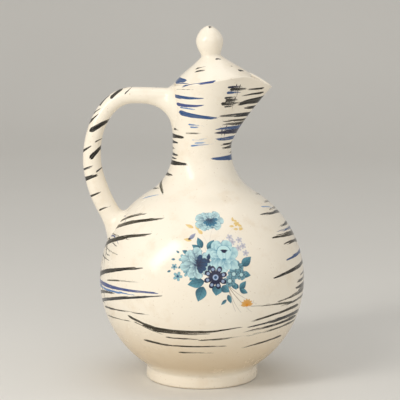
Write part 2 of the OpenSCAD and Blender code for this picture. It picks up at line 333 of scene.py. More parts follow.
def lid_profile():
    """Half section of the lid with its knob: (radius, height above the seat's plane)."""
    under = -SEAT_DEPTH + SEAT_GAP
    edge = np.array([[LID_R - 0.7, under], [LID_R - 0.15, under + 0.25], [LID_R, under + 0.8],
                     [LID_R, under + 2.4], [LID_R, -0.6]])
    dome = cubic([(LID_R, 0.5), (LID_R - 4.4, 6), (16, 12), (STEM_R + 1.4, DOME_H - 1.1)],
                 np.linspace(0, 1, 70))
    fillet = cubic([dome[-1], (STEM_R + 0.4, DOME_H - 0.3), (STEM_R + 0.1, DOME_H + 0.3),
                    (STEM_R + 0.35, DOME_H + 1.6)], np.linspace(0, 1, 14))[1:]
    stem = cubic([fillet[-1], (STEM_R + 0.9, DOME_H + 3.6), (KNOB_R, KNOB_WIDE_H - 5),
                  (KNOB_R, KNOB_WIDE_H)], np.linspace(0, 1, 36))[1:]
    crown = cubic([(KNOB_R, KNOB_WIDE_H), (KNOB_R, KNOB_WIDE_H + 5), (5.3, KNOB_TOP_H),
                   (0, KNOB_TOP_H)], np.linspace(0, 1, 44))[1:]
    inner = FLANGE_R - FLANGE_WALL
    hollow = cubic([(0, DOME_H - 5.5), (11, DOME_H - 7.5), (inner, 2), (inner, under)],
                   np.linspace(0, 1, 30))
    outside = np.vstack([edge, dome, fillet, stem, crown])
    outside[:, 0] = np.maximum(outside[:, 0] - SKIN, 0)
    outside[:, 1] = np.where(outside[:, 1] > 0, outside[:, 1] - SKIN, outside[:, 1])
    return outside, hollow


# ---- Brush strokes under the glaze -----------------------------------------------------------

def paint(hex_colour):
    """A colour given as sRGB hex, as linear light."""
    c = np.array([int(hex_colour[k:k + 2], 16) / 255 for k in (0, 2, 4)])
    return tuple(np.where(c <= 0.04045, c / 12.92, ((c + 0.055) / 1.055) ** 2.4))


INKS = {"cobalt": paint("17487F"), "sky": paint("4F7DB4"), "pale": paint("88A6CC"),
        "violet": paint("2C4482"), "navy": paint("0C163C"), "olive": paint("241D08"),
        "black": paint("0B0A06"), "grey": paint("4A4838"), "slate": paint("141B22")}

# The body's strokes lie in groups. A group says how much broader its strokes are painted in front
# and at the side (where their middle lies past side_from degrees), how much is added to their
# dryness, and whether the ends that start out of sight are uneven. A stroke is its start and end
# as (degrees round from the front towards the spout, height in mm), bow in mm, half width in mm,
# ink, and dryness from 0 (full brush) to 1 (bristles).
Group = namedtuple("Group", "in_front at_side side_from drier uneven strokes")
MOST_DRY = 0.85
LOW_DOWN, LOW_ASIDE, LOW_BREADTH = 80, 20, 0.9    # below this height and past this angle, thinner
OUT_OF_SIGHT_LEFT, OUT_OF_SIGHT_RIGHT = -96, 98   # degrees past which an end is out of sight
FURTHER_LEFT, FURTHER_RIGHT = (-4, 14), (-8, 16)  # how many degrees further round it may start
UNEVEN_SEED, UNSEEN_SEED, FLOWER_SEED = 3, 5, 11
BODY_GROUPS = [
    # left of the neck
    Group(1.0, 1.37, 55, 0.0, True, [
        ((-54, 245.5), (-6, 247), 0.3, 0.7, "slate", 0.8),
        ((-62, 240.5), (0, 240), -0.5, 2, "cobalt", 0.5),
        ((-54, 234), (3, 234), -0.6, 1.9, "violet", 0.45),
        ((-46, 227.5), (26, 223), -0.4, 2.9, "cobalt", 0.5),
        ((-42, 231.3), (-14, 230.8), 0, 0.6, "sky", 0.6), ((-26, 218), (0, 217.5), 0, 1, "sky", 0.75),
        ((-22, 215.5), (-4, 215.5), 0, 0.9, "sky", 0.75), ((-34, 210), (-2, 211), 0, 0.6, "grey", 0.8),
        ((-20, 205), (6, 206), 0, 0.7, "pale", 0.7), ((-22, 200), (16, 201), 0.2, 0.9, "sky", 0.7),
        ((-14, 202.5), (24, 203), 0.2, 0.8, "pale", 0.7),
        ((-112, 210.5), (-56, 212.5), 0.4, 1.3, "black", 0.5),
        ((-112, 205.5), (-36, 206.5), 0.4, 2.2, "black", 0.3),
        ((-108, 201), (-54, 201.5), 0, 1.6, "slate", 0.3), ((-96, 196), (-64, 196), 0, 1, "olive", 0.3),
        ((-108, 190.5), (-56, 191), 0, 1.4, "slate", 0.3),
        ((-100, 187.6), (-58, 187.8), 0, 0.9, "slate", 0.4),
        ((-104, 183.5), (-28, 184.5), 0.3, 1.9, "black", 0.35),
        ((-106, 172), (-58, 174.5), 0.6, 1.6, "olive", 0.6),
        ((-104, 168), (-52, 161), 1.5, 1.5, "grey", 0.6),
        ((-98, 160), (-66, 163), 0.5, 0.6, "grey", 0.8),
    ]),
    # right of the neck, dabbed many times beside the spout
    Group(1.05, 1.05, 90, 0.0, False, [
        ((34, 249), (60, 248.5), 0.2, 1, "navy", 0.75),
        ((38, 247), (63, 246.5), 0.2, 1.6, "black", 0.75),
        ((34, 244.5), (57, 244), 0, 1.4, "cobalt", 0.75),
        ((79, 246.2), (64, 245.9), 0, 1, "black", 0.65),
        ((82, 242.5), (60, 240.5), 0.2, 1.3, "black", 0.75),
        ((32, 240), (52, 240.5), 0, 1, "slate", 0.75), ((34, 237.8), (56, 238), 0, 1.7, "black", 0.75),
        ((28, 235), (60, 235), 0, 1.7, "black", 0.75), ((34, 232.5), (50, 233), 0, 0.8, "slate", 0.75),
        ((96, 236.5), (58, 233.5), 0.9, 4, "black", 0.3),
    ]),
    # round the neck under the spout
    Group(1.0, 1.31, 30, 0.15, True, [
        ((92, 230), (70, 230), 0, 1.6, "black", 0.4), ((92, 224.5), (74, 224), 0, 1.6, "black", 0.4),
        ((106, 223), (28, 225), 0.3, 2, "slate", 0.5),
        ((100, 219.5), (34, 220.5), 0, 1.3, "olive", 0.6),
        ((104, 216.3), (36, 217.5), 0, 1.5, "black", 0.5),
    ]),
    # the darkest of these, at the neck's waist
    Group(1.0, 1.56, 30, 0.15, True, [
        ((108, 212.7), (24, 214), 0.2, 1.8, "cobalt", 0.5),
        ((104, 209.8), (26, 210.8), 0, 2, "navy", 0.35), ((98, 211.3), (44, 212), 0, 1.6, "navy", 0.35),
        ((106, 204.5), (26, 205.5), 0, 1.7, "cobalt", 0.5),
        ((98, 205.3), (52, 206), 0, 0.9, "black", 0.5), ((100, 200), (44, 200.6), 0, 1.4, "black", 0.5),
        ((100, 197), (42, 197.6), 0, 1.3, "black", 0.5),
    ]),
    # at the neck's foot
    Group(1.0, 1.31, 30, 0.15, True, [
        ((118, 188), (18, 189.5), -0.3, 2.9, "cobalt", 0.3),
        ((110, 192.4), (52, 193), 0, 0.8, "grey", 0.7),
    ]),
    # under the rim
    Group(1.0, 1.0, 90, 0.0, False, [
        ((18, 255), (-36, 248.4), 1, 1.5, "cobalt", 0.45),
        ((16, 254.6), (-4, 251.6), 0, 1.6, "violet", 0.3),
    ]),
    # left of the belly
    Group(1.05, 1.42, 62, 0.12, True, [
        ((-88, 126), (-31, 144.5), 2.8, 2.2, "olive", 0.35),
        ((-80, 135), (-50, 146), 1.2, 1, "olive", 0.5), ((-94, 110), (-36, 132.5), 3, 2, "olive", 0.35),
        ((-112, 118), (-64, 119), 2.2, 1, "slate", 0.6),
        ((-112, 104), (-68, 105.5), 1.2, 1.2, "slate", 0.6),
        ((-112, 98), (-74, 92.5), 0.6, 1.5, "black", 0.5),
        ((-98, 84), (-35, 107), 2.4, 2.1, "black", 0.35), ((-66, 90), (-34, 96), 0.5, 0.7, "grey", 0.8),
        ((-112, 90), (-72, 84), 0.4, 1.2, "black", 0.5),
        ((-96, 83), (-25, 88.5), 0.2, 2.3, "violet", 0.45),
        ((-92, 72), (-56, 82), 0.8, 1.6, "black", 0.4),
        ((-96, 79.5), (-40, 84.5), -0.3, 1.3, "sky", 0.6),
        ((-86, 66), (-22, 86.5), 1.8, 2.2, "slate", 0.35),
        ((-104, 76), (-74, 68), 0.4, 1.2, "black", 0.5),
        ((-76, 64.5), (-30, 70), 0.8, 1.1, "olive", 0.65),
        ((-74, 57.5), (-42, 61), 0.4, 0.9, "grey", 0.75),
    ]),
    # low on the belly
    Group(0.85, 1.15, 62, 0.22, True, [
        ((-46, 65.5), (-20, 57), -0.8, 2, "olive", 0.35),
        ((-36, 59.5), (22, 60), -2.6, 2.1, "olive", 0.45),
        ((-30, 56.5), (4, 55.5), -0.6, 1.4, "olive", 0.6), ((-42, 61), (-24, 54), 0, 1, "grey", 0.7),
        ((-22, 51.5), (0, 50.5), -0.3, 1.3, "olive", 0.6),
        ((-2, 49.8), (28, 52), -0.2, 0.8, "grey", 0.8),
        ((-38, 46), (-14, 43.5), -0.5, 1.8, "olive", 0.5),
        ((-20, 43.5), (14, 44), 0, 1.1, "olive", 0.65), ((-15, 37.5), (6, 38), 0, 0.8, "grey", 0.8),
    ]),
    # right of the belly
    Group(1.0, 1.35, 62, 0.15, True, [
        ((72, 67.5), (28, 64), 1.8, 2, "olive", 0.55), ((78, 61), (27, 59), 1.6, 2.5, "slate", 0.6),
        ((74, 57.5), (25, 55), 1.4, 2.2, "black", 0.65), ((80, 53), (28, 51.5), 1.4, 1.5, "grey", 0.7),
        ((60, 44), (27, 40.5), 1, 1.5, "olive", 0.6), ((108, 76), (46, 77), 2.4, 2, "olive", 0.5),
        ((104, 70), (49, 72.5), 1.6, 1.5, "black", 0.6),
        ((64, 72.5), (22, 77.5), 0.8, 1.2, "grey", 0.7), ((112, 80), (64, 84), 0.4, 2.4, "black", 0.3),
        ((112, 86), (66, 88.5), 0.3, 2.2, "black", 0.4),
        ((108, 91.5), (72, 92.5), 0.3, 1.4, "slate", 0.5),
        ((112, 97), (44, 97.5), 3.4, 2.1, "black", 0.45),
        ((114, 107), (57, 109), 1.4, 2, "cobalt", 0.35),
        ((112, 112.5), (60, 121), 2.2, 1.8, "olive", 0.5),
        ((114, 119), (50, 127.5), 2.4, 2.2, "olive", 0.5),
        ((112, 124.5), (60, 131), 1, 1.2, "cobalt", 0.6),
        ((114, 130), (64, 133.5), 1, 1.4, "slate", 0.6),
        ((112, 137.5), (52, 145), 1.6, 1.4, "slate", 0.6),
        ((118, 141), (70, 146.5), 0.8, 1, "olive", 0.65), ((116, 146), (74, 152), 0.6, 1, "slate", 0.7),
        ((118, 152), (82, 157), 0.4, 0.8, "grey", 0.75),
    ]),
    # scribbled edge of the belly's left side
    Group(1.0, 1.0, 90, 0.0, True, [
        ((-118, 141), (-84, 138), 1, 1, "slate", 0.6),
        ((-116, 137), (-80, 131), -1.5, 0.9, "violet", 0.6),
        ((-118, 131), (-86, 124), 2, 1.3, "black", 0.5),
        ((-116, 125), (-84, 112), 2.5, 1.1, "violet", 0.5),
        ((-118, 114), (-88, 118), -1.5, 1.4, "black", 0.5),
        ((-120, 107), (-84, 100), 2, 1.5, "slate", 0.5), ((-118, 96), (-88, 102), 1, 1.4, "black", 0.5),
        ((-120, 87), (-90, 80), 1, 1.5, "black", 0.4), ((-96, 121), (-52, 126), 1.5, 0.5, "grey", 0.8),
        ((-94, 116), (-60, 113), -1, 0.5, "grey", 0.8),
    ]),
    # short marks over the scribbles and at the right edge
    Group(1.0, 1.0, 90, 0.0, False, [
        ((-84, 142), (-79, 127), 3, 0.7, "slate", 0.6), ((-88, 129), (-84, 113), 3, 0.8, "black", 0.5),
        ((-80, 119), (-85, 103), -3, 0.8, "slate", 0.6),
        ((-86, 108), (-79, 93), 2.5, 0.9, "black", 0.5),
        ((-80, 139), (-68, 136), 2.5, 0.6, "violet", 0.6),
        ((-80, 132), (-69, 137), -2, 0.6, "violet", 0.6), ((-88, 97), (-80, 84), 2, 0.9, "slate", 0.5),
        ((-84, 124), (-72, 119), 2, 0.6, "violet", 0.6), ((-90, 84), (-82, 70), 2, 0.9, "black", 0.5),
        ((86, 128), (82, 112), 2.5, 0.8, "black", 0.6), ((88, 112), (84, 96), 2.5, 0.9, "slate", 0.5),
        ((88, 96), (83, 82), 2, 1, "black", 0.5), ((-80, 123), (-62, 121), 2.5, 0.8, "violet", 0.5),
        ((-82, 117), (-75, 104), 2.5, 0.9, "slate", 0.5),
        ((-79, 113), (-69, 110), -1.8, 0.7, "slate", 0.5),
        ((-80, 107), (-73, 95), 2.2, 0.9, "black", 0.5), ((-79, 85), (-70, 72), 1.6, 1.1, "slate", 0.5),
        ((-81, 97), (-76, 88), 1.6, 0.9, "violet", 0.5),
        ((100, 85), (68, 80.5), 0.5, 2.6, "black", 0.5), ((98, 91), (74, 87), 0.5, 2, "black", 0.5),
        ((99, 103), (76, 100), 0.5, 1.6, "slate", 0.5),
    ]),
    # pale wisps on the shoulders
    Group(1.0, 1.0, 90, 0.0, False, [
        ((-84, 152), (-52, 160), 1, 0.5, "pale", 0.8), ((62, 150), (88, 143), 1, 0.6, "pale", 0.8),
    ]),
    # the dabbed cluster's short uprights
    Group(1.0, 1.0, 90, 0.0, False, [
        ((46, 251), (48, 243), 0.3, 0.6, "navy", 0.7), ((52, 250.5), (51, 242), 0.2, 0.7, "black", 0.7),
        ((40, 240.5), (42, 231.5), 0.3, 0.6, "slate", 0.75),
        ((50, 240), (49, 232), 0.2, 0.8, "black", 0.7), ((36, 215), (38, 207), 0.2, 0.8, "navy", 0.7),
        ((46, 216), (45, 206.5), 0.3, 0.9, "navy", 0.7),
    ]),
]

# Strokes across the handle: start and end as (x, z) in mm, half width, ink, dryness.
HANDLE_BREADTH = 1.3             # they are all painted broader by this
HANDLE_STROKES = [
    ((-76, 237), (-63, 247), 1.3, "black", 0.4), ((-64, 241), (-55, 248), 0.7, "slate", 0.6),
    ((-85, 231), (-76, 240), 0.8, "slate", 0.6), ((-97, 213), (-86, 224), 1.2, "black", 0.5),
    ((-93, 210), (-75, 220), 2.1, "black", 0.5), ((-89, 201), (-80, 204), 0.7, "olive", 0.5),
    ((-101, 191), (-91, 198), 1.1, "black", 0.5), ((-93, 187), (-81, 199), 1.9, "black", 0.6),
    ((-101, 176), (-91, 181), 0.9, "slate", 0.6), ((-88, 176), (-80, 180), 0.7, "slate", 0.6),
    ((-100, 168), (-86, 174), 1.9, "black", 0.5), ((-95, 153), (-85, 159), 1.1, "olive", 0.6),
    ((-92, 222), (-84, 229), 0.6, "slate", 0.6), ((-86, 143), (-78, 147), 0.8, "olive", 0.7),
    ((-39, 246.3), (-28, 247.2), 0.6, "slate", 0.7),
]

# Strokes on the lid: start and end as (degrees, height in mm in the lid's own frame), half width.
LID_STROKES = [
    ((-88, 2.6), (-46, 2.4), 2.8, "cobalt", 0.15), ((-80, 0.4), (-40, 0.2), 1.0, "cobalt", 0.3),
    ((-46, 11.0), (-16, 12.6), 0.8, "slate", 0.6), ((-40, 9.0), (-20, 9.6), 0.6, "slate", 0.6),
    ((22, 17.0), (40, 16.6), 0.7, "slate", 0.5), ((52, 10.5), (60, 9.5), 0.6, "slate", 0.5),
    ((58, 6.2), (74, 4.8), 1.2, "slate", 0.5), ((0, 43.0), (60, 43.0), 0.8, "slate", 0.5),
    ((150, 3.0), (205, 4.2), 1.6, "cobalt", 0.5), ((168, 9.0), (196, 8.4), 0.9, "grey", 0.7),
    ((232, 6.0), (262, 5.0), 0.8, "slate", 0.6), ((96, 2.0), (122, 3.4), 1.4, "cobalt", 0.5),
    ((110, 12.5), (140, 12.9), 0.7, "grey", 0.7),
]


def uneven_start(start, rng):
    """Where a stroke that starts out of sight begins: some reach further round than others."""
    if start >= OUT_OF_SIGHT_RIGHT:
        return round(start + rng.uniform(*FURTHER_RIGHT))
    if start <= OUT_OF_SIGHT_LEFT:
        return round(start - rng.uniform(*FURTHER_LEFT))
    return start


def breadth(group, middle, height):
    """How much broader a group's stroke is painted, by where its middle lies."""
    if abs(middle) > group.side_from:
        return group.at_side
    thinner = height < LOW_DOWN and abs(middle) > LOW_ASIDE
    return group.in_front * (LOW_BREADTH if thinner else 1)


def body_strokes():
    """The groups' strokes, each with its own breadth, dryness and uneven start."""
    rng = random.Random(UNEVEN_SEED)
    strokes = []
    for group in BODY_GROUPS:
        for (a0, z0), (a1, z1), bow, half, ink, dryness in group.strokes:
            half = half * breadth(group, (a0 + a1) / 2, z0)
            start = uneven_start(a0, rng) if group.uneven else a0
            dryness = min(dryness + group.drier, MOST_DRY)
            strokes.append(((start, z0), (a1, z1), bow, half, ink, dryness))
    return strokes


def unseen_strokes():
    """Strokes in the same manner round the back, where nothing says how they run."""
    rng = np.random.default_rng(UNSEEN_SEED)
    strokes = []
    clusters = [(150, 200, 232, 14, 26, 1.3, ("cobalt", "sky", "black")),
                (160, 182, 204, 9, 30, 1.2, ("black", "cobalt", "slate")),
                (140, 104, 150, 9, 22, 1.5, ("olive", "black", "slate", "violet")),
                (222, 76, 140, 11, 22, 1.5, ("olive", "slate", "violet", "grey")),
                (180, 42, 68, 8, 20, 1.4, ("slate", "olive", "grey")),
                (150, 60, 100, 9, 18, 1.4, ("slate", "violet", "black"))]
    for middle, low, high, count, reach, width, inks in clusters:
        for k in range(count):
            z = low + (high - low) * (k + rng.uniform(-0.3, 0.3)) / count
            at = middle + rng.uniform(-0.6, 0.6) * reach
            half = reach * rng.uniform(0.4, 1.0)
            rise = rng.uniform(-1, 5) * (1 if middle < 180 else -1)
            ends = [(at + half, z), (at - half, z + rise)]
            if middle > 180:
                ends.reverse()
            strokes.append((ends[0], ends[1], rng.uniform(-1, 2), width * rng.uniform(0.5, 1.3),
                            inks[rng.integers(len(inks))], rng.uniform(0.5, 0.8)))
    return strokes


FAR = 9.0                        # beyond this distance, in mm, a stroke isn't felt
OUT_OF_REACH = 1e6               # a height given to vertices that no stroke may reach
HANDLE_BOW = 0.5                 # how far the handle's strokes bow, in mm


class Inked:
    """What the brush has left on a piece, vertex by vertex: how far each lies outside its
    nearest stroke, where it lies along that stroke, and the ink's colour and dryness."""

    def __init__(self, count):
        self.edge = np.full(count, FAR)
        self.along = np.zeros((count, 3))
        self.ink = np.zeros((count, 4))
        self.strokes = 0

    def stroke(self, near, run, across, length, bow, half, ink, dryness):
        """One stroke over the vertices in near, from their places along and across its line."""
        self.strokes += 1
        share = np.clip(run / length, 0, 1)
        t = across - bow * 4 * share * (1 - share)
        width = 0.8 * half * np.minimum((share + 0.02) / 0.12, 1) ** 0.6 * (1.02 - share) ** 0.4
        past = np.maximum(-0.5 * run, 0.22 * (run - length))
        d = np.maximum(np.abs(t) - width, past)
        better = d < self.edge[near]
        rows = near[better]
        self.edge[rows] = d[better]
        self.along[rows] = np.stack([run, t, np.full_like(t, 7.3 * self.strokes)], 1)[better]
        self.ink[rows, :3] = INKS[ink]
        self.ink[rows, 3] = np.clip(dryness * (0.35 + 0.95 * share[better]), 0, 1)

    def put_on(self, piece):
        mesh = piece.data
        for name, kind, field, values in (("ink_depth", "FLOAT", "value", FAR - self.edge),
                                          ("ink_along", "FLOAT_VECTOR", "vector", self.along),
                                          ("ink_colour", "FLOAT_COLOR", "color", self.ink)):
            mesh.attributes.new(name, kind, "POINT").data.foreach_set(
                field, values.astype(np.float32).ravel())


def turn_strokes(inked, turn, radius, height, strokes):
    """Strokes given by angle and height, round a turned form."""
    for (a0, z0), (a1, z1), bow, half, ink, dryness in strokes:
        away = (turn - (a0 + a1) / 2 + 180) % 360 - 180
        reach = abs(a1 - a0) / 2 + 25
        level = (z0 + z1) / 2
        near = np.flatnonzero((np.abs(away) < reach)
                              & (np.abs(height - level) < abs(z1 - z0) / 2 + abs(bow) + 8))
        if not len(near):
            continue
        middle = near[np.argsort(np.abs(height[near] - level))[:40]]
        r = radius[middle].mean()
        start = (turn[near] - a0 + 180) % 360 - 180
        sideways, rise = np.radians(start) * r, height[near] - z0
        dx, dz = math.radians(a1 - a0) * r, z1 - z0
        length = math.hypot(dx, dz)
        dx, dz = dx / length, dz / length
        inked.stroke(near, sideways * dx + rise * dz, (rise * dx - sideways * dz) * np.sign(dx),
                     length, bow, half, ink, dryness)


def paint_body(piece, outer):
    """The strokes on the outside of the body; outer says which vertices are outside."""
    p = corners(piece)
    turn = np.degrees(np.arctan2(p[:, 0], -p[:, 1]))
    radius, height = np.hypot(p[:, 0], p[:, 1]), p[:, 2]
    height = np.where(outer, height, OUT_OF_REACH)
    inked = Inked(len(p))
    turn_strokes(inked, turn, radius, height, body_strokes() + unseen_strokes())
    inked.put_on(piece)


def paint_handle(piece):
    p = corners(piece)
    inked = Inked(len(p))
    for side in (-1, 1):
        for (x0, z0), (x1, z1), half, ink, dryness in HANDLE_STROKES:
            shift = 0.0 if side < 0 else 5.0 * math.sin(x0 + z0)
            x, z = p[:, 0] - x0, p[:, 2] - z0 - shift
            length = math.hypot(x1 - x0, z1 - z0)
            dx, dz = (x1 - x0) / length, (z1 - z0) / length
            run, across = x * dx + z * dz, z * dx - x * dz
            near = np.flatnonzero((p[:, 1] * side > -1) & (np.abs(across) < 8)
                                  & (run > -6) & (run < length + 6))
            inked.stroke(near, run[near], across[near], length, HANDLE_BOW,
                         half * HANDLE_BREADTH, ink, dryness)
    inked.put_on(piece)


def paint_lid(piece, turn, radius, height):
    inked = Inked(len(turn))
    strokes = [(a, b, 0.2, half, ink, dry) for a, b, half, ink, dry in LID_STROKES]
    turn_strokes(inked, turn, radius, height, strokes)
    inked.put_on(piece)


# ---- The bouquet, a printed film on the belly --------------------------------------------------
# A generic spray of blue garden flowers. Places are in mm from the film's middle, x to the
# right and y up.

FILM_TURN, FILM_Z = math.radians(6), 114.0       # where the film's middle lies on the belly
FILM_LOW, FILM_HIGH = (-37.0, -45.0), (43.0, 49.0)
FILM_STEP = 0.22
FILM_PROUD = 0.03

MIST, TEAL, DEEP, NAVY = paint("C2E4E6"), paint("3A83A2"), paint("12466F"), paint("08143A")
LAVENDER, GOLD, AMBER, STEM = paint("B4B6CC"), paint("E6BC62"), paint("E0921E"), paint("8A7048")
LEAF, LEAF_DARK = paint("62A0B0"), paint("17445C")
WHITE = paint("FBF8F0")


class Film:
    """A sheet to paint on: colour and cover at every point of a fine grid."""

    def __init__(self):
        xs = np.arange(FILM_LOW[0], FILM_HIGH[0], FILM_STEP)
        ys = np.arange(FILM_LOW[1], FILM_HIGH[1], FILM_STEP)
        self.x, self.y = np.meshgrid(xs, ys)
        self.colour = np.full(self.x.shape + (3,), 0.8)
        self.cover = np.zeros(self.x.shape)
        self.rng = np.random.default_rng(FLOWER_SEED)

    def near(self, cx, cy, reach):
        """The part of the sheet within reach of a point, as slices."""
        i = np.searchsorted(self.x[0], [cx - reach, cx + reach])
        j = np.searchsorted(self.y[:, 0], [cy - reach, cy + reach])
        return slice(j[0], j[1]), slice(i[0], i[1])

    def lay(self, part, mask, colour):
        m = mask[..., None]
        self.colour[part] = self.colour[part] * (1 - m) + np.asarray(colour) * m
        self.cover[part] = np.maximum(self.cover[part], mask)

    def petal(self, cx, cy, angle, length, width, base, tip, edge, ruffle=0.08, veins=0.25,
              cover=1.0):
        """One petal or leaf from its foot at (cx, cy): dark at the base, pale at the tip."""
        part = self.near(cx, cy, length * 1.15 + 1)
        x, y = self.x[part] - cx, self.y[part] - cy
        u = (x * math.cos(angle) + y * math.sin(angle)) / length
        v = (y * math.cos(angle) - x * math.sin(angle)) / width
        wave = self.rng.uniform(0, 6.28)
        around = np.arctan2(v * width, (u - 0.5) * length)
        rim = 1 + ruffle * np.sin(around * 5 + wave) + ruffle * 0.5 * np.sin(around * 11 + wave)
        blunt = np.clip(u, 0, 1)
        half = 1.35 * blunt ** 0.55 * (1 - blunt) ** 0.36
        inside = half * rim - np.abs(v)
        inside = np.where((u < 0) | (u > 1), -1, inside) * width
        mask = np.clip(inside / 0.3 + 0.5, 0, 1) * cover
        shade = np.clip(u + 0.15 * np.sin(v * 9 + wave), 0, 1)[..., None]
        tint = np.asarray(base) * (1 - shade) + np.asarray(tip) * shade
        vein = np.sin(np.arctan2(v, u + 0.25) * 13 + wave)[..., None] * veins * (1 - 0.5 * shade)
        tint = tint * (1 - np.clip(vein, 0, 1) * 0.8)
        line = np.clip(1 - inside / 0.55, 0, 1)[..., None] * 0.75
        tint = tint * (1 - line) + np.asarray(edge) * line
        self.lay(part, mask, tint)

    def leaf(self, cx, cy, angle, length, width, base=LEAF_DARK, tip=LEAF, cover=1.0):
        """A pointed leaf with a midrib and side veins."""
        part = self.near(cx, cy, length + 1)
        x, y = self.x[part] - cx, self.y[part] - cy
        u = (x * math.cos(angle) + y * math.sin(angle)) / length
        v = (y * math.cos(angle) - x * math.sin(angle)) / width
        inside = np.where((u < 0) | (u > 1), -1,
                          np.sin(np.pi * np.clip(u, 0, 1) ** 0.8) - np.abs(v)) * width
        mask = np.clip(inside / 0.3 + 0.5, 0, 1) * cover
        shade = np.clip(0.25 + 0.6 * u + 0.35 * v, 0, 1)[..., None]
        tint = np.asarray(base) * (1 - shade) + np.asarray(tip) * shade
        rib = np.clip(1 - np.abs(v) * width / 0.28, 0, 1)
        side = np.clip(np.sin((u * 9 - np.abs(v) * 2.2) * 3.1) - 0.55, 0, 1) * 0.6
        line = np.maximum(rib * 0.7, side)[..., None]
        tint = tint * (1 - line) + np.asarray(base) * 0.7 * line
        rim = np.clip(1 - inside / 0.45, 0, 1)[..., None] * 0.6
        tint = tint * (1 - rim) + np.asarray(base) * rim
        self.lay(part, mask, tint)

    def line(self, points, half, colour, cover=0.8):
        """A fine curved stem through three or four control points."""
        curve = cubic(points, np.linspace(0, 1, 60))
        low, high = curve.min(0) - 1, curve.max(0) + 1
        reach = max(high - low)
        part = self.near(*((low + high) / 2), reach / 2 + 1)
        d = np.full(self.x[part].shape, 9.0)
        for k, (x, y) in enumerate(curve):
            thin = half * (1 - 0.5 * k / 60)
            d = np.minimum(d, np.hypot(self.x[part] - x, self.y[part] - y) - thin)
        self.lay(part, np.clip(0.5 - d / 0.25, 0, 1) * cover, colour)

    def glow(self, cx, cy, r, colour, cover):
        """A soft round patch that fades to nothing at its edge."""
        part = self.near(cx, cy, r)
        d = np.hypot(self.x[part] - cx, self.y[part] - cy) / r
        self.lay(part, cover * smoothstep(1.0, 0.35, d), colour)

    def dot(self, cx, cy, r, colour, cover=1.0):
        part = self.near(cx, cy, r + 1)
        d = np.hypot(self.x[part] - cx, self.y[part] - cy) - r
        self.lay(part, np.clip(0.5 - d / 0.3, 0, 1) * cover, colour)


def ruffled_flower(film, cx, cy, r, squash, dark, pale, rings=3):
    """A full flower: rings of ruffled petals that grow smaller and darker to the heart."""
    for ring in range(rings):
        size = r * (1 - 0.27 * ring)
        count = 9 - 2 * ring
        for k in range(count):
            a = 2 * math.pi * (k + 0.5 * ring) / count + film.rng.uniform(-0.15, 0.15)
            long = size * math.hypot(math.cos(a), squash * math.sin(a))
            film.petal(cx, cy, a, long * film.rng.uniform(0.9, 1.06), size * 0.4, dark, pale,
                       dark, ruffle=0.14, veins=0.5)
    film.dot(cx, cy, r * 0.20, NAVY, 0.7)


def rose(film, cx, cy, r, dark, pale, heart, lean=0.0):
    """A cabbage rose: rings of broad petals round a cup with a dark hollow."""
    for ring, count in ((1.0, 7), (0.80, 6), (0.60, 5)):
        for k in range(count):
            a = 2 * math.pi * (k + ring * 2) / count + lean + film.rng.uniform(-0.12, 0.12)
            film.petal(cx, cy, a, r * ring * film.rng.uniform(0.93, 1.05), r * 0.46 * ring,
                       dark, pale, dark, ruffle=0.07, veins=0.15)
    x, y = cx + math.sin(lean) * r * 0.25, cy + r * 0.22
    film.dot(x, y, r * 0.43, dark, 0.85)
    film.dot(x, y + r * 0.03, r * 0.38, pale)
    film.petal(x - r * 0.28, y + r * 0.10, -0.1, r * 0.58, r * 0.14, heart, heart, heart, 0.05, 0)
    for shift, a in ((-0.12, 1.9), (0.14, 1.2)):
        film.petal(x + shift * r, y - r * 0.42, a, r * 0.58, r * 0.24, pale, pale, dark, 0.05, 0.2)


def daisy(film, cx, cy, r, count, petal, tip, heart):
    for k in range(count):
        a = 2 * math.pi * k / count + 0.3
        film.petal(cx + 0.15 * r * math.cos(a), cy + 0.15 * r * math.sin(a), a, r * 0.85,
                   r * 0.30, petal, petal, petal, 0.04, 0)
        film.dot(cx + 0.70 * r * math.cos(a), cy + 0.70 * r * math.sin(a), r * 0.13, tip, 0.8)
    film.dot(cx, cy, r * 0.32, petal)
    film.dot(cx, cy, r * 0.24, tip)
    film.dot(cx, cy, r * 0.13, heart)


def small_flower(film, cx, cy, r, dark, pale, cover=1.0):
    turn = film.rng.uniform(0, 6.28)
    for k in range(5):
        a = 2 * math.pi * k / 5 + turn
        film.petal(cx, cy, a, r, r * 0.42, pale, pale, dark, 0.05, 0.3, cover)
    film.dot(cx, cy, r * 0.24, dark, cover)


